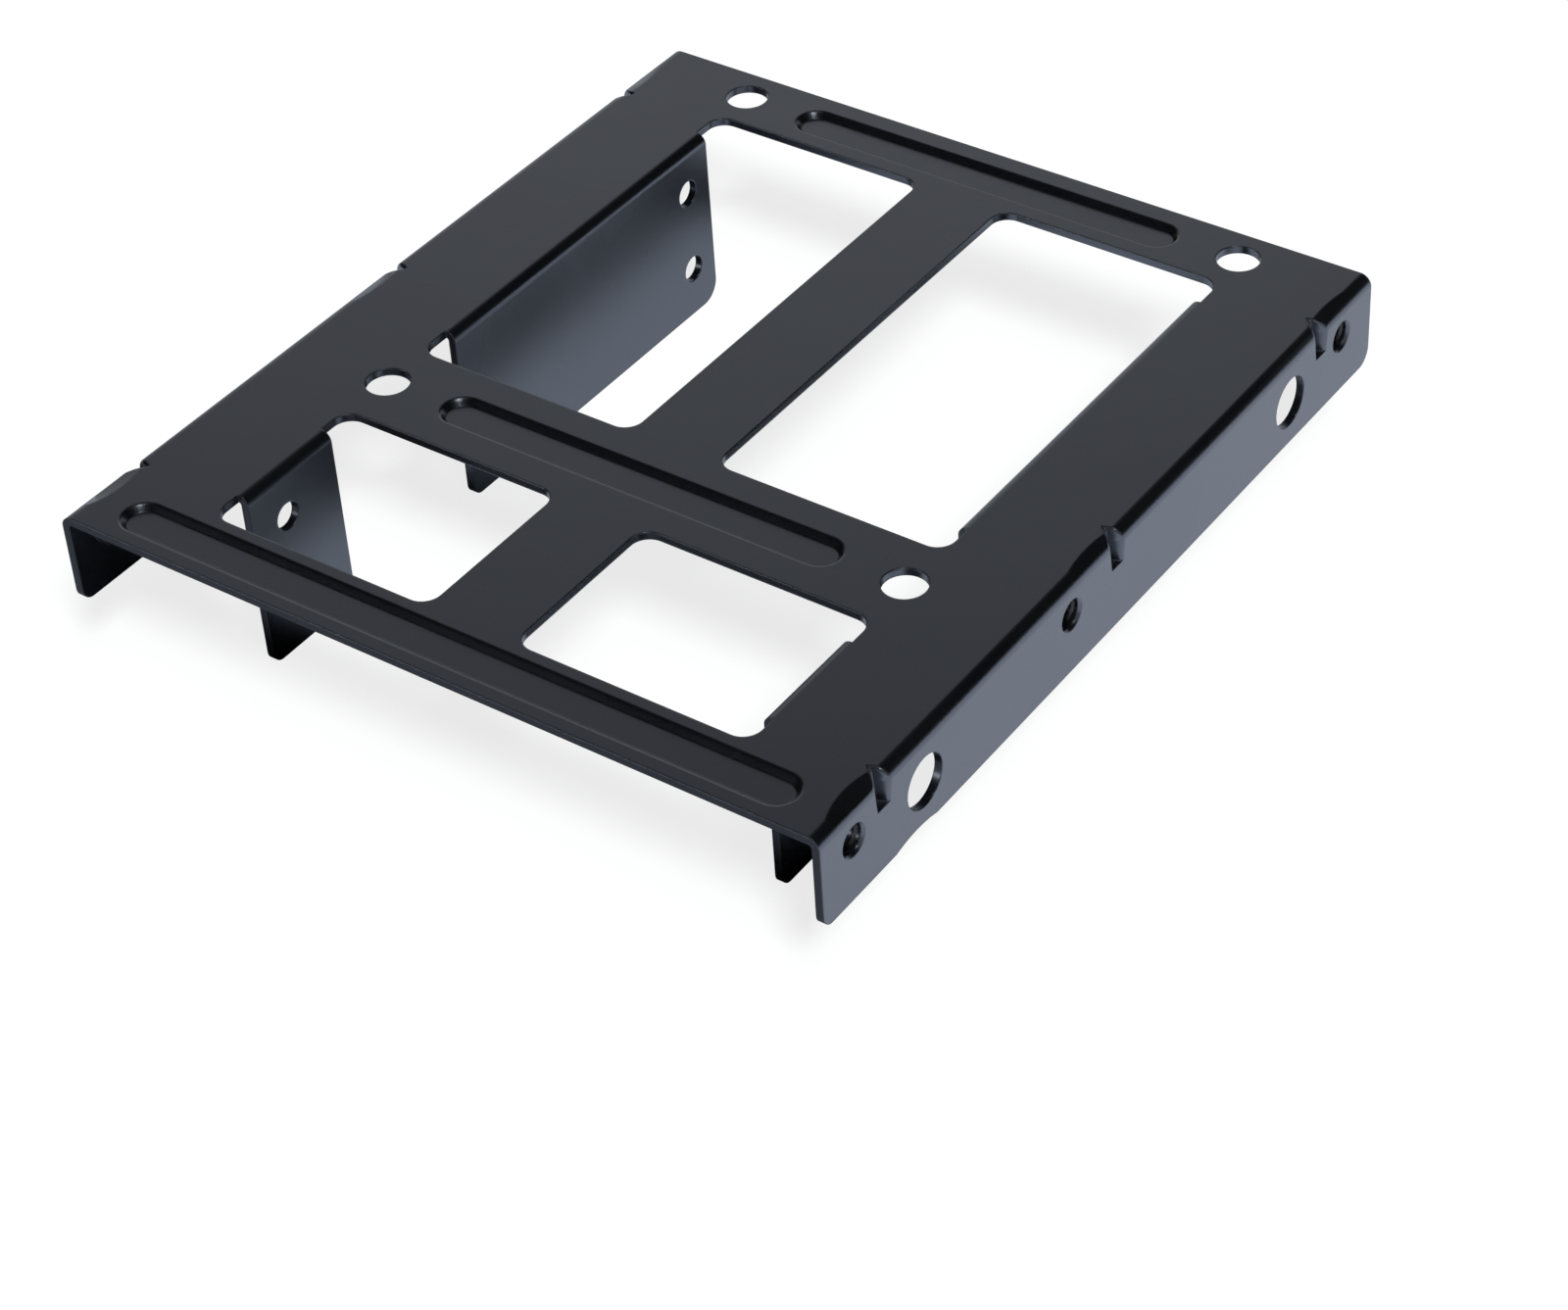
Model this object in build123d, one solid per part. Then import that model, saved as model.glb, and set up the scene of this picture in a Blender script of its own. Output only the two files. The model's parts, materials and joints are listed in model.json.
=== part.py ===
from build123d import *
from math import cos, pi, sin, tan
import os

# Overall sizes. The width is that of a three-and-a-half-inch drive, so the bracket fills the bay of one.
width = 101.6
sheet = 1.0
rim_drop = 12.0
tab_drop = 24.0
bay_width = 69.9

# Bends, as radii of the outer face of the sheet
rim_bend = 1.5
tab_bend = 1.3

# Rounded lower corners of the rims and of the tabs, at their front and at their back
rim_front_corner = 1.5
rim_back_corner = 2.1
tab_front_corner = 1.5
tab_back_corner = 2.7

# Bars of the plate between and around the windows. Places along the depth are measured from the front edge.
bar_half = 5.8
window_corner = 2.3
front_rail = 8.64
crossbar_place = 38.25
crossbar = 13.36
back_rail = 10.12

# Relief left at each end of a tab, so that its bend doesn't tear the plate
front_relief = 4.3
back_relief = 4.7

# Side holes for the two stacked drives: pitch along the depth, first hole, and drops of the two rows
drive_pitch = 76.6
drive_first = 18.7
upper_row = 6.25
lower_row = 17.5
drive_hole = 3.5
access_hole = 6.5

# Tapped holes in the rims: first hole, steps from it to the middle and the last, drop of their row, and sheet
# behind the last. The bore has the major diameter of the thread and a flared mouth, and the collar is drawn
# inwards out of the sheet.
bay_first = 5.8
bay_middle_step = 41.61
bay_last_step = 101.6
bay_row = 4.35
bay_margin = 7.1
thread_major = 3.5
mouth_reach = 0.3
mouth_depth = 0.35
collar_diameter = 4.9
collar_length = 1.1

# Plain holes in the plate: on the crossbar, and near the back edge
plate_hole = 5.3
plate_hole_half = 35.6
plate_hole_margin = 4.8

# Pressed beads: width at the top face, drop of the floor, slope of the wall in degrees from upright
bead_width = 5.2
bead_drop = 0.75
bead_slope = 43.0
bead_lip = 0.5
long_bead = 90.4
short_bead = 54.6
front_bead_margin = 4.45
back_bead_margin = 5.25

# Darts pressed into the outer bends: places of the first and the last, and then near end, valley and far end
# of each along the depth at its foot, measured from its place. Its walls spread as they rise, in degrees.
dart_margin_front = 11.0
dart_margin_back = 12.3
dart_near = -0.85
dart_valley = 0.65
dart_far = 1.2
dart_reach = 1.35
dart_drop = 4.0
dart_spread = 5.0
dart_lip = 0.5

# Shallow hollow that each dart draws into the bend beside it: length, depth beside the first dart and beside
# the others, tilt of its face in degrees from the plate, and distance from the dart to its middle
hollow_length = 10.0
first_hollow_depth = 0.3
hollow_depth = 0.17
hollow_tilt = 17.0
hollow_shift = 3.4

# Shallow arc in the lower edge of each rim
arc_place = 16.9
arc_radius = 15.0
arc_rise = 0.5

# Places that follow from the sizes above
depth = bay_first + bay_last_step + bay_margin
front_window = (front_rail, crossbar_place - crossbar / 2)
back_window = (crossbar_place + crossbar / 2, depth - back_rail)
first_dart = dart_margin_front
last_dart = depth - dart_margin_back
darts = (
    (first_dart, -1, first_hollow_depth),
    ((first_dart + last_dart) / 2, -1, hollow_depth),
    (last_dart, 1, hollow_depth),
)
bay_places = (bay_first, bay_first + bay_middle_step, bay_first + bay_last_step)
drive_rows = (upper_row, lower_row)
plate_hole_places = (crossbar_place, depth - plate_hole_margin)
beads = (
    (front_bead_margin, long_bead),
    (crossbar_place, short_bead),
    (depth - back_bead_margin, short_bead),
)

# The bracket stands on the lower edges of its tabs, at height zero, and is centred along its depth.
top = tab_drop
front = -depth / 2
rim_x = width / 2
tab_x = bay_width / 2
window_reach = tab_x + tab_bend
upwards = (Align.CENTER, Align.CENTER, Align.MIN)
outwards = (Align.MIN, Align.CENTER, Align.CENTER)


def along(place):
    """Turn a distance from the front edge into a coordinate."""
    return front + place


def bent_section(outer_corner, outer_radius, *points):
    """Closed section through the points, rounded where its outer face and its inner face turn."""
    section = make_face(Polyline(*points, close=True))
    inner_corner = (outer_corner[0] + sheet, outer_corner[1] - sheet)
    for corner, radius in ((outer_corner, outer_radius), (inner_corner, outer_radius - sheet)):
        vertex = section.vertices().sort_by_distance((corner[0], corner[1], 0))[0]
        section = fillet(vertex, radius)
    return section


def round_lower_ends(flange, front_radius, back_radius):
    """Round the lower corners of an upright flange at its front and at its back."""
    for end, radius in ((0, front_radius), (-1, back_radius)):
        lower_ends = flange.edges().filter_by(Axis.X).group_by(Axis.Z)[0]
        flange = fillet(lower_ends.group_by(Axis.Y)[end], radius)
    return flange


def on_side(shape, side):
    """Keep a shape made for the right side, or mirror it to the left."""
    return shape if side > 0 else mirror(shape, about=Plane.YZ)


def shell():
    """Plate and the two rims bent down from it, as one section drawn out along the depth."""
    outer = Pos(0, top - rim_drop / 2) * Rectangle(width, rim_drop)
    outer = fillet(outer.vertices().group_by(Axis.Y)[-1], rim_bend)
    inner = Pos(0, top - sheet - rim_drop / 2) * Rectangle(width - 2 * sheet, rim_drop)
    inner = fillet(inner.vertices().group_by(Axis.Y)[-1], rim_bend - sheet)
    body = extrude(Plane.XZ * (outer - inner), amount=depth / 2, both=True)
    return round_lower_ends(body, rim_front_corner, rim_back_corner)


def window(span):
    """Rounded opening between the middle bar and the line where the tab bends down."""
    middle_x = (bar_half + window_reach) / 2
    middle_y = along(sum(span) / 2)
    outline = RectangleRounded(window_reach - bar_half, span[1] - span[0], window_corner)
    return Pos(middle_x, middle_y, top - 2 * sheet) * extrude(outline, amount=3 * sheet)


def tab(span, relief):
    """Tab bent down out of a window, with a relief at each of its ends."""
    length = span[1] - span[0] - 2 * relief
    root_x = window_reach + sheet
    section = bent_section(
        (tab_x, top),
        tab_bend,
        (root_x, top),
        (tab_x, top),
        (tab_x, top - tab_drop),
        (tab_x + sheet, top - tab_drop),
        (tab_x + sheet, top - sheet),
        (root_x, top - sheet),
    )
    body = extrude(Plane.XZ * section, amount=length / 2, both=True)
    body = round_lower_ends(body, tab_front_corner, tab_back_corner)
    return Pos(0, along(sum(span) / 2), 0) * body


def press(body, bump, dent, lip_radius):
    """Add the bump of a pressed form on the inner face, cut its dent and round its lip except a dart's foot."""
    bumped = body + bump
    pressed = bumped - dent
    lip = new_edges(bumped, dent, combined=pressed).filter_by(Axis.Y, reverse=True)
    return fillet(lip, lip_radius)


def bead(place, length):
    """Groove with sloped walls and round ends, and the bump that it makes under the plate."""
    slope = bead_slope * pi / 180
    rise = bead_drop * tan(slope)
    mouth = SlotOverall(length + 2 * rise, bead_width + 2 * rise)
    groove = Pos(0, 0, bead_drop) * extrude(mouth, amount=-2 * bead_drop, taper=bead_slope)
    spread = sheet * (1 / cos(slope) - tan(slope))
    wide = SlotOverall(length + 2 * spread, bead_width + 2 * spread)
    bump = Pos(0, 0, -sheet) * extrude(wide, amount=-bead_drop, taper=bead_slope)
    spot = Pos(0, along(place), top)
    return spot * bump, spot * groove


def dart(place):
    """Wedge-shaped dent across the outer bend, and the bump that it makes inside the corner."""
    widening = (dart_reach + sheet) / dart_reach
    outline = make_face(
        Polyline(
            (rim_x - dart_reach, dart_valley),
            (rim_x + sheet, dart_valley + (dart_far - dart_valley) * widening),
            (rim_x + sheet, dart_valley + (dart_near - dart_valley) * widening),
            close=True,
        )
    )
    dent = extrude(outline, amount=dart_drop + sheet, taper=-dart_spread)
    wide = offset(outline, amount=sheet, kind=Kind.INTERSECTION)
    bump = extrude(wide, amount=dart_drop + sheet / 2, taper=-dart_spread)
    outer_half = Pos(rim_x - sheet / 2, 0, 0) * Box(4 * sheet, 40 * sheet, 4 * dart_drop, align=outwards)
    bump -= outer_half
    spot = Pos(0, along(place), top - dart_drop)
    return spot * Pos(0, 0, -sheet) * bump, spot * dent


def hollow(place, toward, sink):
    """Shallow hollow across the outer bend beside a dart, as a wide roller would press it."""
    tilt = hollow_tilt * pi / 180
    radius = hollow_length**2 / (8 * sink) + sink / 2
    bend_x = rim_x - rim_bend + rim_bend * sin(tilt)
    bend_z = top - rim_bend + rim_bend * cos(tilt)
    spot = Pos(bend_x, along(place + toward * hollow_shift), bend_z) * Rot(0, hollow_tilt, 0)
    return spot * Pos(0, 0, radius - sink) * Rot(0, 90, 0) * Cylinder(radius, 5 * sheet)


def tapped_hole(place):
    """Collar drawn inwards round a tapped hole, and the bore with its flared mouth."""
    bore_radius = thread_major / 2
    inner_end = -sheet - collar_length
    collar = Pos(0, 0, inner_end) * Cylinder(collar_diameter / 2, collar_length + sheet / 2, align=upwards)
    bore = Pos(0, 0, inner_end) * Cylinder(bore_radius, sheet + collar_length, align=upwards)
    mouth = Pos(0, 0, -mouth_depth) * Cone(bore_radius, bore_radius + mouth_reach, mouth_depth, align=upwards)
    spot = Pos(rim_x, along(place), top - bay_row) * Rot(0, 90, 0)
    return spot * collar, spot * (bore + mouth)


def cross_hole(diameter, x, place, drop):
    """Hole through an upright flange."""
    return Pos(x, along(place), top - drop) * Rot(0, 90, 0) * Cylinder(diameter / 2, 4 * sheet)


def side_features(body, side):
    """Windows, tabs, darts and holes of one side."""
    for span, relief in ((front_window, front_relief), (back_window, back_relief)):
        body -= on_side(window(span), side)
        body += on_side(tab(span, relief), side)
    for place, toward, sink in darts:
        bump, dent = dart(place)
        body = press(body, on_side(bump, side), on_side(dent, side), dart_lip)
        body -= on_side(hollow(place, toward, sink), side)
    for place in bay_places:
        collar, bore = tapped_hole(place)
        body += on_side(collar, side)
        body -= on_side(bore, side)
    for place in (drive_first, drive_first + drive_pitch):
        body -= cross_hole(access_hole, side * rim_x, place, drive_rows[0])
        for drop in drive_rows:
            body -= cross_hole(drive_hole, side * tab_x, place, drop)
    for place in plate_hole_places:
        body -= Pos(side * plate_hole_half, along(place), top) * Cylinder(plate_hole / 2, 4 * sheet)
    arc_drop = rim_drop - arc_rise + arc_radius
    body -= cross_hole(2 * arc_radius, side * rim_x, arc_place, arc_drop)
    return body


def build_bracket():
    """The whole folded sheet."""
    body = shell()
    for side in (-1, 1):
        body = side_features(body, side)
    for place, length in beads:
        bump, groove = bead(place, length)
        body = press(body, bump, groove, bead_lip)
    return body


os.makedirs("parts", exist_ok=True)
bracket = build_bracket()
export_step(bracket, "parts/bracket.step")
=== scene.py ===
import json
import math

import bmesh
import bpy
import numpy as np
from bpy.props import FloatProperty, FloatVectorProperty, IntProperty, PointerProperty
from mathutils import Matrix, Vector


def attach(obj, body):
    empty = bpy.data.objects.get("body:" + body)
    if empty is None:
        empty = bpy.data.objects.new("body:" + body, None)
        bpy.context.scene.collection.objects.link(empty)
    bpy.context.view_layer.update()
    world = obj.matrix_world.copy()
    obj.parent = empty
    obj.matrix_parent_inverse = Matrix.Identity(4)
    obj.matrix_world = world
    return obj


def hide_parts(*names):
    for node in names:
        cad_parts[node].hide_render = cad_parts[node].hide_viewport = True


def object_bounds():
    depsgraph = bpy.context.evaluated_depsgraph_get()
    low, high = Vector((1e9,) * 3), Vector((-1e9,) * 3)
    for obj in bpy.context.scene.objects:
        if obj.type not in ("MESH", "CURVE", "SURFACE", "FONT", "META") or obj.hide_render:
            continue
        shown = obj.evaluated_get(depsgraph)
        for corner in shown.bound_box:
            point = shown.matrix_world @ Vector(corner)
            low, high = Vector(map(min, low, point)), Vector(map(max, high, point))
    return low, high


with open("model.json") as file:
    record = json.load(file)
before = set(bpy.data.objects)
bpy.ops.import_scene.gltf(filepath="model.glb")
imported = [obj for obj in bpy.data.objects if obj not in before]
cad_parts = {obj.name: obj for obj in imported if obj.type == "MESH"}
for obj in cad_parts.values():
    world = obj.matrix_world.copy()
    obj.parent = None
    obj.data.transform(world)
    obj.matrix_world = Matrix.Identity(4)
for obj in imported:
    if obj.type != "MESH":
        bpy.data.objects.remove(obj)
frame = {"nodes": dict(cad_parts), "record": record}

bl_info = {
    "name": "Drive bay bracket",
    "version": (1, 0, 0),
    "blender": (4, 5, 0),
    "location": "View3D > Sidebar > Bracket",
    "description": "Paints a folded drive bracket, cuts its screw threads and sets up a pale studio",
    "category": "Object",
}

SHEET_NODE = "bracket"
BODY = "root"
MOUNTS = {mount["name"]: mount for mount in frame["record"]["mounts"]}
CAD_LOW, CAD_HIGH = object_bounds()

# Noise between these two values counts as the whole range of a cloudy pattern.
CLOUD_RANGE = (0.3, 0.7)

# Paint: darkest and lightest share of its colour, spread of its roughness, and its dust
PAINT_TONES = (0.85, 1.15)
PAINT_GLOSS_SPREAD = 0.02
DUST = {"Cell width": 0.006, "Dot width": 0.00012, "Share": 0.12}
BEVEL_SAMPLES = 6

# Tapped steel: width and height of its cutting marks, darkest share of its colour, spread of its roughness
CUT_WIDTH = 0.0002
CUT_HEIGHT = 0.000004
STEEL_DARK_TONE = 0.5
STEEL_GLOSS_SPREAD = 0.08

# Shading: what counts as square to an axis, planes told apart in a metre, least area of a large flat in
# square metres, weight of a large flat against other faces, and a number that keeps divisions from failing
SQUARE_COSINE = 0.99999
PLANES_PER_METRE = 1e5
FLAT_AREA = 6e-6
FLAT_WEIGHT = 1e4
TINY = 1e-20

# Thread: turns left out at the ends of the bore, part of a turn over which each end dies out, least share of
# the height left there, and the corners of the ridge's profile as shares of the pitch: two at the foot, then
# two at the crest
THREAD_MARGIN_TURNS = 0.55
FADE_TURNS = 1 / 3
LEAST_FADE = 0.02
RIDGE_PROFILE = (-0.42, 0.42, 0.08, -0.08)

# Floor: how far below the bracket it lies, and where its tone changes in reflections, as distances behind the
# bracket's front edge and to the right of its right side. These are where the painted shadow under the front
# rail starts and ends, and where the painted shade under the bracket ends on the right.
FLOOR_GAP = 0.00002
RAIL_SHADOW_START = (0.004, 0.010)
RAIL_SHADOW_END = (0.016, 0.029)
SIDE_SHADE_END = (-0.002, 0.006)

# Pale walls of the room that the paint reflects. Each has its brightness setting, its turn to the left of
# straight behind and its rise, as the four angles in degrees between which it fades in and out.
WALLS = (
    ("left_wall", (12, 24, 36, 86), (-92, -91, 20, 58)),
    ("front_strip", (118, 135, 160, 175), (1, 4, 10, 19)),
    ("far_wall", (-178, -165, -100, -80), (1, 6, 30, 45)),
    ("back_wall", (-30, -12, 12, 24), (-92, -91, 14, 26)),
    ("top_patch", (-182, -181, 181, 182), (68, 84, 91, 92)),
)

# Camera fitted to the photograph, in the part's frame. Its angles are in degrees.
CAMERA_PLACE = (0.218854, -0.280866, 0.281342)
CAMERA_ANGLES = (50.862, 2.046, 33.728)
CAMERA_SHIFT = (-0.06404, -0.03346)
SENSOR_WIDTH = 36.0
CLIP_RANGE = (0.01, 50.0)

WHITE = (1.0, 1.0, 1.0)
BLACK = (0.0, 0.0, 0.0)


class PaintSettings(bpy.types.PropertyGroup):
    """Black paint on the folded sheet."""

    colour: FloatVectorProperty(
        name="Paint colour", description="Colour of the paint itself", subtype="COLOR", size=3,
        min=0.0, max=1.0, default=(0.0016, 0.0018, 0.0023),
    )
    dust_colour: FloatVectorProperty(
        name="Dust colour", description="Colour of the few specks that lie on the paint", subtype="COLOR",
        size=3, min=0.0, max=1.0, default=(0.25, 0.26, 0.28),
    )
    roughness: FloatProperty(
        name="Roughness", description="How satin the paint is", subtype="FACTOR",
        min=0.0, max=1.0, default=0.27,
    )
    gloss_index: FloatProperty(
        name="Index of refraction", description="Strength of the paint's mirror reflection",
        min=1.0, max=3.0, default=2.2,
    )
    sheen: FloatVectorProperty(
        name="Sheen", description="Tint of the paint's mirror reflection", subtype="COLOR", size=3,
        min=0.0, max=1.0, default=(0.77, 0.85, 1.0),
    )
    grain_size: FloatProperty(
        name="Grain size", description="Width of one bump of the paint's orange peel",
        subtype="DISTANCE", unit="LENGTH", default=0.0009,
    )
    grain_height: FloatProperty(
        name="Grain height", description="Height of the orange peel",
        subtype="DISTANCE", unit="LENGTH", default=0.0000015,
    )
    edge_radius: FloatProperty(
        name="Edge radius", description="Radius to which the paint rounds the sheet's cut edges",
        subtype="DISTANCE", unit="LENGTH", default=0.00028,
    )
    weld_distance: FloatProperty(
        name="Weld distance", description="Corners closer than this become one",
        subtype="DISTANCE", unit="LENGTH", default=0.000001,
    )
    crease: FloatProperty(
        name="Crease angle",
        description="Faces that meet at less than this angle shade as one round surface",
        subtype="ANGLE", default=math.radians(32.0),
    )
    flat_crease: FloatProperty(
        name="Flat crease angle",
        description="The same angle where one of the two faces lies in a large flat",
        subtype="ANGLE", default=math.radians(12.0),
    )


class ThreadSettings(bpy.types.PropertyGroup):
    """Screw threads in the tapped holes of the rims."""

    pitch: FloatProperty(
        name="Pitch", description="Distance from one turn to the next",
        subtype="DISTANCE", unit="LENGTH", default=0.000794,
    )
    minor_diameter: FloatProperty(
        name="Minor diameter", description="Diameter over the crests inside the hole",
        subtype="DISTANCE", unit="LENGTH", default=0.0029,
    )
    root_depth: FloatProperty(
        name="Root depth", description="How far the ridge's foot is sunk in the wall",
        subtype="DISTANCE", unit="LENGTH", default=0.00002,
    )
    steps_per_turn: IntProperty(
        name="Steps per turn", description="Segments of one turn of the ridge", min=12, max=128, default=48,
    )
    colour: FloatVectorProperty(
        name="Steel colour", description="Colour of the steel that the tap laid bare", subtype="COLOR",
        size=3, min=0.0, max=1.0, default=(0.06, 0.06, 0.062),
    )
    roughness: FloatProperty(
        name="Roughness", description="Roughness of the tapped steel", subtype="FACTOR",
        min=0.0, max=1.0, default=0.3,
    )


class StageSettings(bpy.types.PropertyGroup):
    """Floor, studio light and camera."""

    floor_colour: FloatVectorProperty(
        name="Floor colour", description="Colour of the pale floor", subtype="COLOR", size=3,
        min=0.0, max=1.0, default=(0.97, 0.98, 1.0),
    )
    floor_size: FloatProperty(
        name="Floor size", description="Width of the square floor",
        subtype="DISTANCE", unit="LENGTH", default=8.0,
    )
    white_share: FloatProperty(
        name="White share", description="Share of plain white in the floor that the camera sees",
        subtype="FACTOR", min=0.0, max=1.0, default=0.8,
    )
    # Painted reflection: the floor's colour that only reflections see, apart from the colour the camera sees
    painted_reflection_colour: FloatVectorProperty(
        name="Reflected floor colour",
        description="Colour of the floor beside the bracket in its reflections",
        subtype="COLOR", size=3, min=0.0, max=1.0, default=(0.84, 0.9, 1.0),
    )
    # Painted tone of the floor in front of the bracket, seen only in reflections
    painted_front_tone: FloatProperty(
        name="Front tone", description="Share of that colour in front of the bracket", subtype="FACTOR",
        min=0.0, max=1.0, default=0.22,
    )
    # Painted shade: the floor under the bracket behind its front rail is darker in reflections only
    painted_under_shade: FloatProperty(
        name="Under tone", description="Share of that colour under the bracket behind its front rail",
        subtype="FACTOR", min=0.0, max=1.0, default=0.8,
    )
    key_strength: FloatProperty(
        name="Key strength", description="Strength of the soft lamp", default=3.75,
    )
    key_angle: FloatProperty(
        name="Key softness", description="Angle that the soft lamp fills", subtype="ANGLE",
        default=math.radians(13.0),
    )
    key_direction: FloatVectorProperty(
        name="Key direction", description="Direction in which the soft lamp stands", subtype="DIRECTION",
        size=3, default=(0.53, -0.42, 0.8),
    )
    glint_strength: FloatProperty(
        name="Glint strength", description="Strength of the small lamp that makes the glints",
        default=0.4,
    )
    glint_angle: FloatProperty(
        name="Glint size", description="Angle that the small lamp fills", subtype="ANGLE",
        default=math.radians(12.0),
    )
    glint_direction: FloatVectorProperty(
        name="Glint direction", description="Direction in which the small lamp stands", subtype="DIRECTION",
        size=3, default=(0.36, -0.24, 0.9),
    )
    left_wall: FloatProperty(
        name="Left wall", description="Brightness of the pale wall behind the bracket on the left",
        default=0.62,
    )
    front_strip: FloatProperty(
        name="Front strip", description="Brightness of the low pale strip in front on the left",
        default=3.0,
    )
    far_wall: FloatProperty(
        name="Far wall", description="Brightness of the low pale wall in front on the right", default=0.4,
    )
    back_wall: FloatProperty(
        name="Back wall", description="Brightness of the low pale wall straight behind", default=0.4,
    )
    top_patch: FloatProperty(
        name="Top patch", description="Brightness of the pale patch straight above", default=0.5,
    )
    fill_strength: FloatProperty(
        name="Fill strength",
        description="Brightness of the soft light from all round on dull surfaces",
        default=0.02,
    )
    gloom: FloatProperty(
        name="Room brightness", description="Brightness of the dark rest of the room", default=0.004,
    )
    focal_length: FloatProperty(
        name="Focal length", description="Focal length of the camera on a 36 mm sensor", default=88.5,
    )


# Nodes that the materials and the world share


def feed(tree, socket, value):
    """Link an output socket to an input, or set the input to a plain number or colour."""
    if isinstance(value, bpy.types.NodeSocket):
        tree.links.new(value, socket)
    elif isinstance(value, (int, float)):
        socket.default_value = value
    else:
        socket.default_value = (*value, 1.0)


def math_node(tree, operation, *values):
    """Math node fed by sockets or plain numbers. Gives its output socket."""
    node = tree.nodes.new("ShaderNodeMath")
    node.operation = operation
    for socket, value in zip(node.inputs, values):
        feed(tree, socket, value)
    return node.outputs[0]


def ramp_node(tree, value, low, high, start=0.0, end=1.0):
    """Smooth step of a value from low to high. Gives its output socket."""
    node = tree.nodes.new("ShaderNodeMapRange")
    node.interpolation_type = "SMOOTHSTEP"
    feed(tree, node.inputs["Value"], value)
    for socket, number in (("From Min", low), ("From Max", high), ("To Min", start), ("To Max", end)):
        node.inputs[socket].default_value = number
    return node.outputs["Result"]


def band_node(tree, angle, degrees):
    """Mask of an angle that rises between the first two of four degrees and falls between the last two."""
    start, full, ebb, end = (math.radians(each) for each in degrees)
    rising = ramp_node(tree, angle, start, full)
    falling = ramp_node(tree, angle, ebb, end, 1.0, 0.0)
    return math_node(tree, "MULTIPLY", rising, falling)


def mix_node(tree, mask, first, second, kind="RGBA"):
    """Mix of two colours or numbers by a mask. Gives its output socket."""
    node = tree.nodes.new("ShaderNodeMix")
    node.data_type = kind
    for name, value in (("Factor", mask), ("A", first), ("B", second)):
        feed(tree, node.inputs[name], value)
    return node.outputs["Result"]


def mix_shader(tree, mask, first, second):
    """Mix of two shaders by a mask. Gives its output socket."""
    node = tree.nodes.new("ShaderNodeMixShader")
    for socket, value in zip(node.inputs, (mask, first, second)):
        feed(tree, socket, value)
    return node.outputs["Shader"]


def bump_node(tree, height, depth, normal=None):
    """Bump of a height from 0 to 1 that stands for a depth in metres. Gives its normal socket."""
    node = tree.nodes.new("ShaderNodeBump")
    node.inputs["Strength"].default_value = 1.0
    node.inputs["Distance"].default_value = depth
    feed(tree, node.inputs["Height"], height)
    if normal is not None:
        feed(tree, node.inputs["Normal"], normal)
    return node.outputs["Normal"]


def node_group(name, inputs, outputs):
    """Empty shader node group with named float sockets, and its input and output nodes."""
    group = bpy.data.node_groups.new(name, "ShaderNodeTree")
    for socket_name, value in inputs:
        socket = group.interface.new_socket(socket_name, in_out="INPUT", socket_type="NodeSocketFloat")
        socket.default_value = value
    for socket_name in outputs:
        group.interface.new_socket(socket_name, in_out="OUTPUT", socket_type="NodeSocketFloat")
    return group, group.nodes.new("NodeGroupInput"), group.nodes.new("NodeGroupOutput")


def surface_grain_group():
    """Fine bumps of a coated or cut surface, and slow cloudy tone, both from noise in object space."""
    group, source, result = node_group("Surface grain", [("Bump width", 0.001)], ["Height", "Cloud"])
    place = group.nodes.new("ShaderNodeTexCoord").outputs["Object"]
    scale = math_node(group, "DIVIDE", 1.0, source.outputs["Bump width"])
    for name, size, detail in (("Height", scale, 2.0), ("Cloud", 45.0, 3.0)):
        noise = group.nodes.new("ShaderNodeTexNoise")
        noise.inputs["Detail"].default_value = detail
        feed(group, noise.inputs["Vector"], place)
        feed(group, noise.inputs["Scale"], size)
        feed(group, result.inputs[name], noise.outputs["Fac"])
    return group


def speck_group():
    """Scattered small specks: a few cells of a fine cell pattern, each with a round dot at its middle."""
    sockets = [("Cell width", 0.004), ("Dot width", 0.0002), ("Share", 0.1)]
    group, source, result = node_group("Specks", sockets, ["Mask"])
    place = group.nodes.new("ShaderNodeTexCoord").outputs["Object"]
    cells = group.nodes.new("ShaderNodeTexVoronoi")
    feed(group, cells.inputs["Vector"], place)
    feed(group, cells.inputs["Scale"], math_node(group, "DIVIDE", 1.0, source.outputs["Cell width"]))
    reach = math_node(group, "MULTIPLY", cells.outputs["Distance"], source.outputs["Cell width"])
    dot = math_node(group, "LESS_THAN", reach, source.outputs["Dot width"])
    lot = group.nodes.new("ShaderNodeSeparateColor")
    feed(group, lot.inputs["Color"], cells.outputs["Color"])
    chosen = math_node(group, "LESS_THAN", lot.outputs["Red"], source.outputs["Share"])
    feed(group, result.inputs["Mask"], math_node(group, "MULTIPLY", dot, chosen))
    return group


def place_group(tree, group, values):
    """Group node with its own values."""
    node = tree.nodes.new("ShaderNodeGroup")
    node.node_tree = group
    for name, value in values.items():
        node.inputs[name].default_value = value
    return node


def shared_grain():
    """The group of surface grain, made at its first use."""
    return bpy.data.node_groups.get("Surface grain") or surface_grain_group()


# Materials


def new_material(name):
    """Material with only a Principled shader and an output. Gives it with its tree and its shader."""
    material = bpy.data.materials.new(name)
    material.use_nodes = True
    tree = material.node_tree
    tree.nodes.clear()
    shader = tree.nodes.new("ShaderNodeBsdfPrincipled")
    output = tree.nodes.new("ShaderNodeOutputMaterial")
    tree.links.new(shader.outputs["BSDF"], output.inputs["Surface"])
    return material, tree, shader


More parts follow.
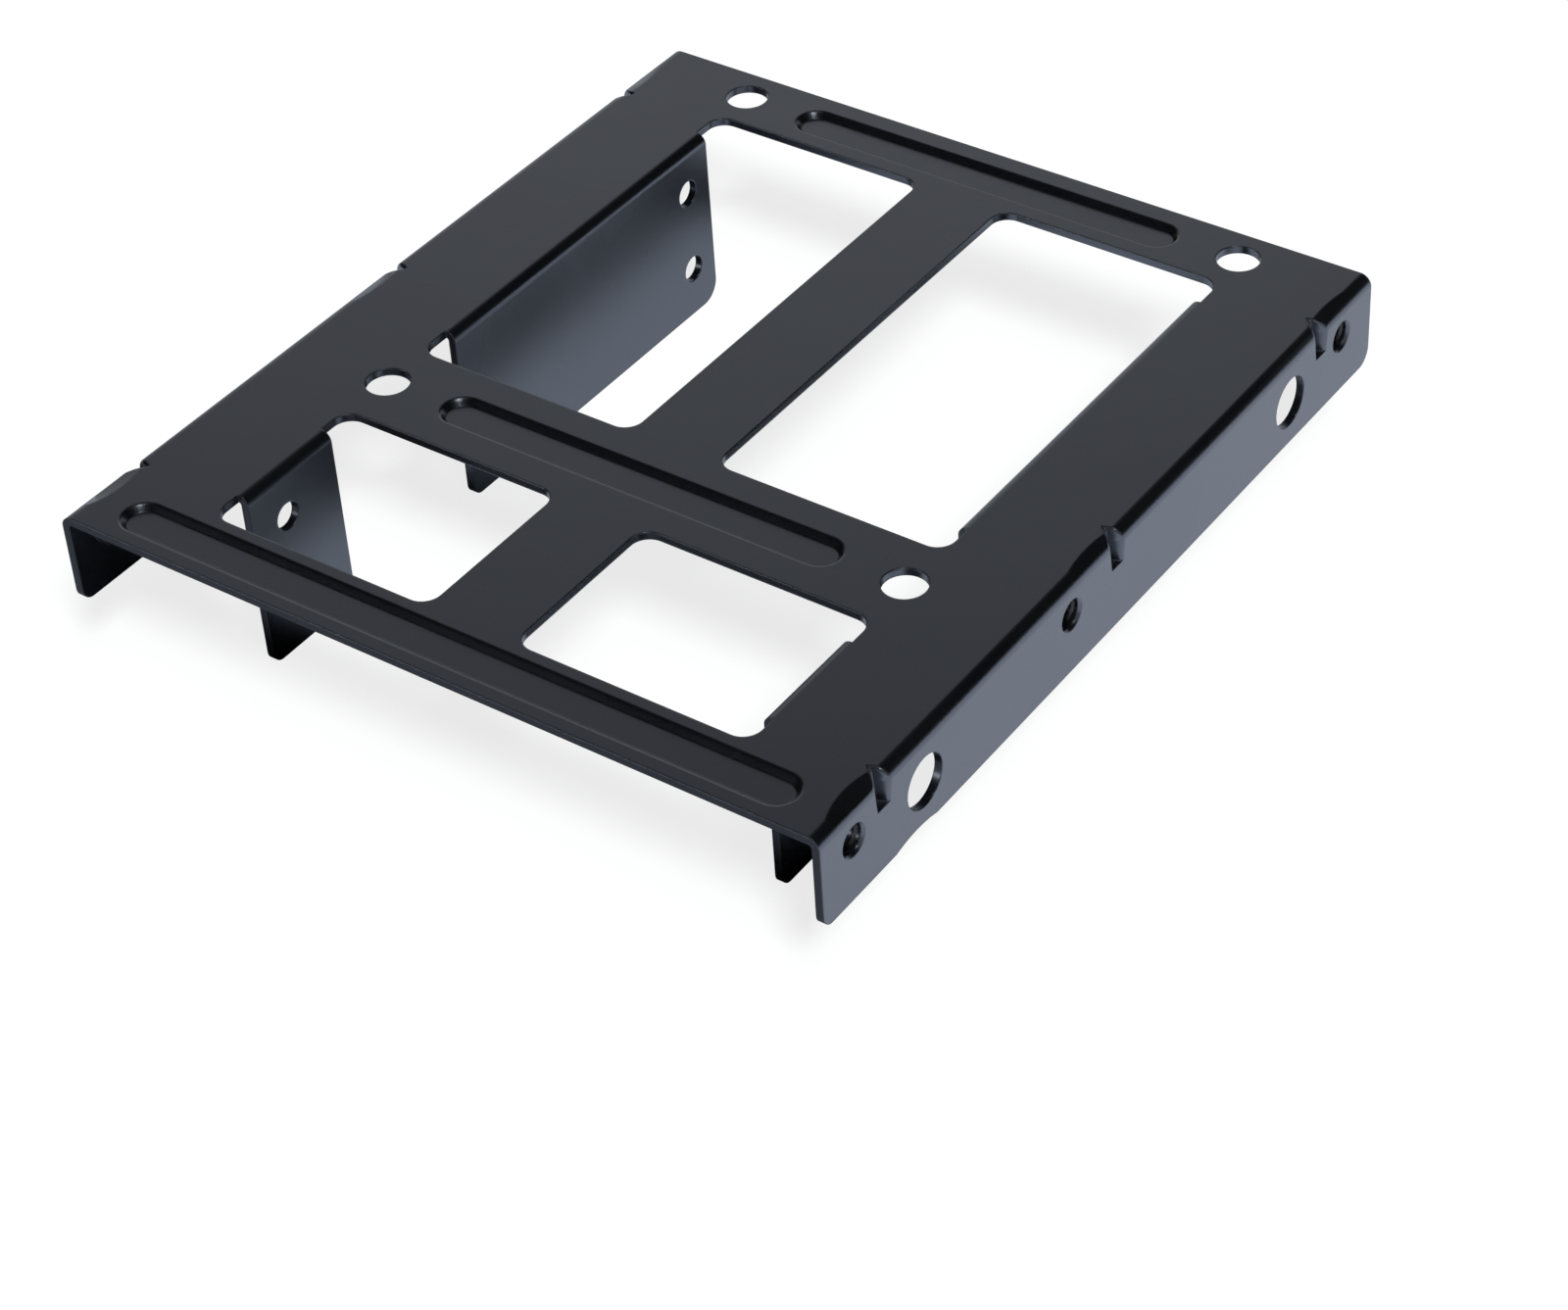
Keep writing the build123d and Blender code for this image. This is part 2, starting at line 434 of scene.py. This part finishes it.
def black_paint(settings, grain, specks):
    """Satin black paint with faint orange peel, rounded cut edges, cloudy gloss and a few specks of dust."""
    material, tree, shader = new_material("Black_paint")
    texture = place_group(tree, grain, {"Bump width": settings.grain_size})
    dust = place_group(tree, specks, DUST)
    dark, light = ([share * part for part in settings.colour] for share in PAINT_TONES)
    tone = mix_node(tree, texture.outputs["Cloud"], dark, light)
    dusty = mix_node(tree, dust.outputs["Mask"], tone, settings.dust_colour)
    feed(tree, shader.inputs["Base Color"], dusty)
    least, most = settings.roughness - PAINT_GLOSS_SPREAD, settings.roughness + PAINT_GLOSS_SPREAD
    gloss = ramp_node(tree, texture.outputs["Cloud"], *CLOUD_RANGE, least, most)
    feed(tree, shader.inputs["Roughness"], gloss)
    shader.inputs["IOR"].default_value = settings.gloss_index
    shader.inputs["Specular Tint"].default_value = (*settings.sheen, 1.0)
    rounding = tree.nodes.new("ShaderNodeBevel")
    rounding.samples = BEVEL_SAMPLES
    rounding.inputs["Radius"].default_value = settings.edge_radius
    peel = bump_node(tree, texture.outputs["Height"], settings.grain_height, rounding.outputs["Normal"])
    feed(tree, shader.inputs["Normal"], peel)
    return material


def tapped_steel(settings, grain):
    """Bare steel of a tapped thread, with fine cutting marks and cloudy darker patches."""
    material, tree, shader = new_material("Tapped_steel")
    texture = place_group(tree, grain, {"Bump width": CUT_WIDTH})
    dark = [STEEL_DARK_TONE * part for part in settings.colour]
    tone = mix_node(tree, texture.outputs["Cloud"], dark, settings.colour)
    feed(tree, shader.inputs["Base Color"], tone)
    shader.inputs["Metallic"].default_value = 1.0
    least, most = settings.roughness - STEEL_GLOSS_SPREAD, settings.roughness + STEEL_GLOSS_SPREAD
    gloss = ramp_node(tree, texture.outputs["Height"], *CLOUD_RANGE, least, most)
    feed(tree, shader.inputs["Roughness"], gloss)
    feed(tree, shader.inputs["Normal"], bump_node(tree, texture.outputs["Height"], CUT_HEIGHT))
    return material


# Meshes


def link_piece(name, mesh, material):
    """Object of the part that shows a mesh in one material and rides on the part's body."""
    piece = bpy.data.objects.new(name, mesh)
    bpy.context.scene.collection.objects.link(piece)
    mesh.materials.clear()
    mesh.materials.append(material)
    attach(piece, BODY)
    return piece


def corner_pairs(corner_vertex):
    """All pairs of face corners that share a vertex, as two index arrays: each corner with each one there."""
    order = np.argsort(corner_vertex, kind="stable")
    counts = np.bincount(corner_vertex)
    starts = np.concatenate(([0], np.cumsum(counts)[:-1]))
    vertex = corner_vertex[order]
    repeats = counts[vertex]
    first = np.repeat(order, repeats)
    offset = np.arange(first.size) - np.repeat(np.cumsum(repeats) - repeats, repeats)
    second = order[np.repeat(starts[vertex], repeats) + offset]
    return first, second


def unit(vectors):
    """Vectors scaled to a length of one."""
    return vectors / (np.linalg.norm(vectors, axis=-1, keepdims=True) + TINY)


def large_flats(corners, normals, areas):
    """Mask of the triangles that lie in a large plane square to an axis."""
    axis = np.abs(normals).argmax(1)
    square = np.abs(normals).max(1) > SQUARE_COSINE
    height = np.take_along_axis(corners[:, 0], axis[:, None], 1)[:, 0]
    plane = np.stack([axis, np.round(height * PLANES_PER_METRE).astype(int)], 1)
    _, index = np.unique(plane, axis=0, return_inverse=True)
    index = index.ravel()
    return square & (np.bincount(index, areas * square)[index] > FLAT_AREA)


def shade_round(mesh, crease, flat_crease):
    """Corner normals of a welded triangle mesh. Each is the sum of the normals of the faces round its vertex
    that turn from its own by less than the crease, each times its angle there. A face in a large plane square
    to an axis outweighs the rest, so that flat stays flat up to where a bend starts, and a face outside that
    plane joins it only below the flat crease."""
    points = np.empty(len(mesh.vertices) * 3)
    mesh.vertices.foreach_get("co", points)
    corner_vertex = np.empty(len(mesh.loops), dtype=np.int32)
    mesh.loops.foreach_get("vertex_index", corner_vertex)
    corners = points.reshape(-1, 3)[corner_vertex].reshape(-1, 3, 3)
    onward = unit(np.roll(corners, -1, axis=1) - corners)
    backward = unit(np.roll(corners, 1, axis=1) - corners)
    angles = np.arccos(np.clip((onward * backward).sum(2), -1.0, 1.0)).ravel()
    cross = np.cross(corners[:, 1] - corners[:, 0], corners[:, 2] - corners[:, 0])
    normals = unit(cross)
    flat = large_flats(corners, normals, np.linalg.norm(cross, axis=1) / 2)
    flat_corner = np.repeat(flat, 3)
    weight = angles * np.where(flat_corner, FLAT_WEIGHT, 1.0)
    corner_normal = np.repeat(normals, 3, axis=0)
    first, second = corner_pairs(corner_vertex)
    mixed = flat_corner[first] != flat_corner[second]
    limit = np.where(mixed, math.cos(flat_crease), math.cos(crease))
    near = (corner_normal[first] * corner_normal[second]).sum(1) > limit
    total = np.zeros_like(corner_normal)
    np.add.at(total, first[near], corner_normal[second[near]] * weight[second[near], None])
    mesh.shade_smooth()
    mesh.normals_split_custom_set(unit(total).tolist())


def tube_mesh(name, points):
    """Closed mesh of a tube from a grid of points, one row for each step along it, with a face on each
    end. All faces point outwards."""
    rows, columns = points.shape[:2]
    row = np.arange(rows - 1)[:, None] * columns
    column = np.arange(columns)[None, :]
    first = (row + column).ravel()
    beside = (row + (column + 1) % columns).ravel()
    quads = np.stack([first, beside, beside + columns, first + columns], 1)
    start = np.arange(columns)[::-1]
    end = (rows - 1) * columns + np.arange(columns)
    mesh = bpy.data.meshes.new(name)
    mesh.from_pydata(points.reshape(-1, 3).tolist(), [], quads.tolist() + [start.tolist(), end.tolist()])
    facing = bmesh.new()
    facing.from_mesh(mesh)
    bmesh.ops.recalc_face_normals(facing, faces=facing.faces)
    facing.to_mesh(mesh)
    facing.free()
    return mesh


def thread_ridge(middle, outward, radius, length, settings):
    """Grid of points of the ridge of an inner thread, one row of four for each step along it. At each step
    it turns by an equal angle about the hole's axis and moves along it by the same share of the pitch. The
    foot lies just outside the bore's radius and the crest at the minor radius. The foot is 0.84 of a pitch
    wide and the crest 0.16, and the crest sinks to the foot over a third of a turn at each end."""
    turns = length / settings.pitch - THREAD_MARGIN_TURNS
    steps = int(turns * settings.steps_per_turn)
    along = np.linspace(0.0, 1.0, steps)
    angle = 2 * math.pi * turns * along[:, None]
    fade = np.clip(np.minimum(along, 1.0 - along) * turns / FADE_TURNS, LEAST_FADE, 1.0)
    foot = radius + settings.root_depth
    crest = foot - (foot - settings.minor_diameter / 2) * fade
    reach = np.stack([np.full(steps, foot), np.full(steps, foot), crest, crest], 1)
    across = np.array(RIDGE_PROFILE) * settings.pitch
    travel = (along - 0.5)[:, None] * turns * settings.pitch + across[None, :]
    x, y, z = middle
    return np.stack([x + outward * travel, y + reach * np.cos(angle), z + reach * np.sin(angle)], 2)


def tapped_places():
    """Middle, side, bore radius and length of each tapped hole, from the part's mounts."""
    places = []
    for side, sign in (("right", 1.0), ("left", -1.0)):
        pair = MOUNTS[f"bay_screws_{side}"]
        single = MOUNTS[f"bay_screw_middle_{side}"]
        half = pair["dims"]["spacing_x_mm"] / 2000
        radius = single["dims"]["r_mm"] / 1000
        length = single["dims"]["length_mm"] / 1000
        x, middle_y, z = single["pos_m"]
        for y in (pair["pos_m"][1] - half, middle_y, pair["pos_m"][1] + half):
            places.append(((x, y, z), sign, radius, length))
    return places


# Operators and panel


class BRACKET_OT_folded_sheet(bpy.types.Operator):
    """Show the folded sheet welded, with round shading on its bends, in black paint"""

    bl_idname = "bracket.folded_sheet"
    bl_label = "Folded sheet"

    def execute(self, context):
        settings = context.scene.bracket_paint
        mesh = frame["nodes"][SHEET_NODE].data.copy()
        mesh.name = "folded_sheet"
        welded = bmesh.new()
        welded.from_mesh(mesh)
        bmesh.ops.remove_doubles(welded, verts=welded.verts, dist=settings.weld_distance)
        welded.to_mesh(mesh)
        welded.free()
        shade_round(mesh, settings.crease, settings.flat_crease)
        piece = link_piece("folded_sheet", mesh, black_paint(settings, shared_grain(), speck_group()))
        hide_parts(SHEET_NODE)
        return {"FINISHED"}


class BRACKET_OT_screw_threads(bpy.types.Operator):
    """Cut a screw thread into each tapped hole of the rims"""

    bl_idname = "bracket.screw_threads"
    bl_label = "Screw threads"

    def execute(self, context):
        settings = context.scene.bracket_thread
        steel = tapped_steel(settings, shared_grain())
        for number, place in enumerate(tapped_places(), start=1):
            name = f"screw_thread_{number}"
            link_piece(name, tube_mesh(name, thread_ridge(*place, settings)), steel)
        return {"FINISHED"}


class BRACKET_OT_stage(bpy.types.Operator):
    """Set up the pale floor, the soft studio light and the camera"""

    bl_idname = "bracket.stage"
    bl_label = "Studio"

    def execute(self, context):
        settings = context.scene.bracket_stage
        self.floor(context, settings)
        self.room(context, settings)
        self.lamps(context, settings)
        self.camera(context, settings)
        context.scene.view_settings.view_transform = "Standard"
        return {"FINISHED"}

    def floor(self, context, settings):
        """Flat square at the height of the bracket's lower edges. It is see-through from below."""
        half = settings.floor_size / 2
        height = CAD_LOW.z - FLOOR_GAP
        corners = [(x * half, y * half, height) for x, y in ((-1, -1), (1, -1), (1, 1), (-1, 1))]
        mesh = bpy.data.meshes.new("floor")
        mesh.from_pydata(corners, [], [(0, 1, 2, 3)])
        mesh.materials.append(self.floor_material(settings))
        floor = bpy.data.objects.new("floor", mesh)
        context.scene.collection.objects.link(floor)

    def floor_material(self, settings):
        """Dull pale floor. The camera sees a share of plain white in it. The paint sees a painted reflection
        of it:
        plain beside the bracket, a little darker between the tabs as painted shade, darker still in front,
        and black under the front rail as a painted shadow."""
        material, tree, shader = new_material("Pale_floor")
        shader.inputs["Roughness"].default_value = 1.0
        shader.inputs["Specular IOR Level"].default_value = 0.0
        rays = tree.nodes.new("ShaderNodeLightPath").outputs
        place = tree.nodes.new("ShaderNodeSeparateXYZ")
        feed(tree, place.inputs[0], tree.nodes.new("ShaderNodeTexCoord").outputs["Object"])
        x, y = place.outputs["X"], place.outputs["Y"]
        # Painted shade for reflections only: darker under the bracket, and a black painted shadow under the
        # front rail
        beside = ramp_node(tree, x, *(CAD_HIGH.x + way for way in SIDE_SHADE_END))
        front_tone_and_rail_shadow = ramp_node(tree, y, *(CAD_LOW.y + way for way in RAIL_SHADOW_START), settings.painted_front_tone, 0.0)
        under = ramp_node(tree, y, *(CAD_LOW.y + way for way in RAIL_SHADOW_END), 0.0, settings.painted_under_shade)
        painted_floor_light = math_node(tree, "MAXIMUM", math_node(tree, "MAXIMUM", front_tone_and_rail_shadow, under), beside)
        painted_floor_reflection = mix_node(tree, painted_floor_light, BLACK, settings.painted_reflection_colour)
        # Reflections see the painted reflection with its painted shade; all other rays see the plain floor
        # colour
        colour = mix_node(tree, rays["Is Glossy Ray"], settings.floor_colour, painted_floor_reflection)
        feed(tree, shader.inputs["Base Color"], colour)
        white = tree.nodes.new("ShaderNodeEmission")
        white.inputs["Color"].default_value = (*WHITE, 1.0)
        white.inputs["Strength"].default_value = 1.0
        share = math_node(tree, "MULTIPLY", rays["Is Camera Ray"], settings.white_share)
        seen = mix_shader(tree, share, shader.outputs["BSDF"], white.outputs["Emission"])
        clear = tree.nodes.new("ShaderNodeBsdfTransparent").outputs["BSDF"]
        from_below = tree.nodes.new("ShaderNodeNewGeometry").outputs["Backfacing"]
        feed(tree, tree.nodes["Material Output"].inputs["Surface"], mix_shader(tree, from_below, seen, clear))
        return material

    def room(self, context, settings):
        """Dark room with pale walls that the paint reflects. The camera sees white where the floor ends."""
        world = bpy.data.worlds.new("Studio_room")
        context.scene.world = world
        world.use_nodes = True
        tree = world.node_tree
        tree.nodes.clear()
        direction = tree.nodes.new("ShaderNodeSeparateXYZ")
        feed(tree, direction.inputs[0], tree.nodes.new("ShaderNodeTexCoord").outputs["Generated"])
        x, y, z = direction.outputs
        turn = math_node(tree, "ARCTAN2", math_node(tree, "MULTIPLY", x, -1.0), y)
        rise = math_node(tree, "ARCSINE", z)
        light = settings.gloom
        for name, sideways, upright in WALLS:
            masks = band_node(tree, turn, sideways), band_node(tree, rise, upright)
            wall = math_node(tree, "MULTIPLY", *masks)
            light = math_node(tree, "MULTIPLY_ADD", wall, getattr(settings, name), light)
        rays = tree.nodes.new("ShaderNodeLightPath").outputs
        light = mix_node(tree, rays["Is Diffuse Ray"], light, settings.fill_strength, "FLOAT")
        light = mix_node(tree, rays["Is Camera Ray"], light, 1.0, "FLOAT")
        background = tree.nodes.new("ShaderNodeBackground")
        background.inputs["Color"].default_value = (*WHITE, 1.0)
        feed(tree, background.inputs["Strength"], light)
        output = tree.nodes.new("ShaderNodeOutputWorld")
        feed(tree, output.inputs["Surface"], background.outputs["Background"])

    def lamps(self, context, settings):
        """Soft lamp in front on the right, which makes the shadows, and a faint small one for the glints."""
        for name, strength, angle, direction, shines in (
            ("key_lamp", settings.key_strength, settings.key_angle, settings.key_direction, False),
            ("glint_lamp", settings.glint_strength, settings.glint_angle, settings.glint_direction, True),
        ):
            data = bpy.data.lights.new(name, "SUN")
            data.energy = strength
            data.angle = angle
            lamp = bpy.data.objects.new(name, data)
            lamp.rotation_euler = Vector(direction).to_track_quat("Z", "Y").to_euler()
            lamp.visible_glossy = shines
            context.scene.collection.objects.link(lamp)

    def camera(self, context, settings):
        """Camera at the photograph's place, in the part's frame."""
        data = bpy.data.cameras.new("camera")
        data.sensor_width = SENSOR_WIDTH
        data.lens = settings.focal_length
        data.shift_x, data.shift_y = CAMERA_SHIFT
        data.clip_start, data.clip_end = CLIP_RANGE
        camera = bpy.data.objects.new("camera", data)
        camera.location = CAMERA_PLACE
        camera.rotation_euler = [math.radians(angle) for angle in CAMERA_ANGLES]
        context.scene.collection.objects.link(camera)
        bpy.context.scene.camera = camera


class BRACKET_PT_sidebar(bpy.types.Panel):
    """Buttons and sizes of the bracket"""

    bl_idname = "BRACKET_PT_sidebar"
    bl_label = "Drive bay bracket"
    bl_space_type = "VIEW_3D"
    bl_region_type = "UI"
    bl_category = "Bracket"

    def draw(self, context):
        for operator, group in STEPS:
            box = self.layout.box()
            box.operator(operator)
            settings = getattr(context.scene, group)
            for name in settings.bl_rna.properties.keys():
                if name not in {"rna_type", "name"}:
                    box.prop(settings, name)


STEPS = (
    ("bracket.folded_sheet", "bracket_paint"),
    ("bracket.screw_threads", "bracket_thread"),
    ("bracket.stage", "bracket_stage"),
)
SETTINGS = {
    "bracket_paint": PaintSettings,
    "bracket_thread": ThreadSettings,
    "bracket_stage": StageSettings,
}
CLASSES = (
    *SETTINGS.values(),
    BRACKET_OT_folded_sheet,
    BRACKET_OT_screw_threads,
    BRACKET_OT_stage,
    BRACKET_PT_sidebar,
)


def register():
    """Register the classes and hang the settings on the scene."""
    for each in CLASSES:
        bpy.utils.register_class(each)
    for name, group in SETTINGS.items():
        setattr(bpy.types.Scene, name, PointerProperty(type=group))


def unregister():
    """Undo what register does."""
    for name in SETTINGS:
        delattr(bpy.types.Scene, name)
    for each in reversed(CLASSES):
        bpy.utils.unregister_class(each)


def main():
    """Build everything in order."""
    register()
    bpy.ops.bracket.folded_sheet()
    bpy.ops.bracket.screw_threads()
    bpy.ops.bracket.stage()


if __name__ == "__main__":
    main()
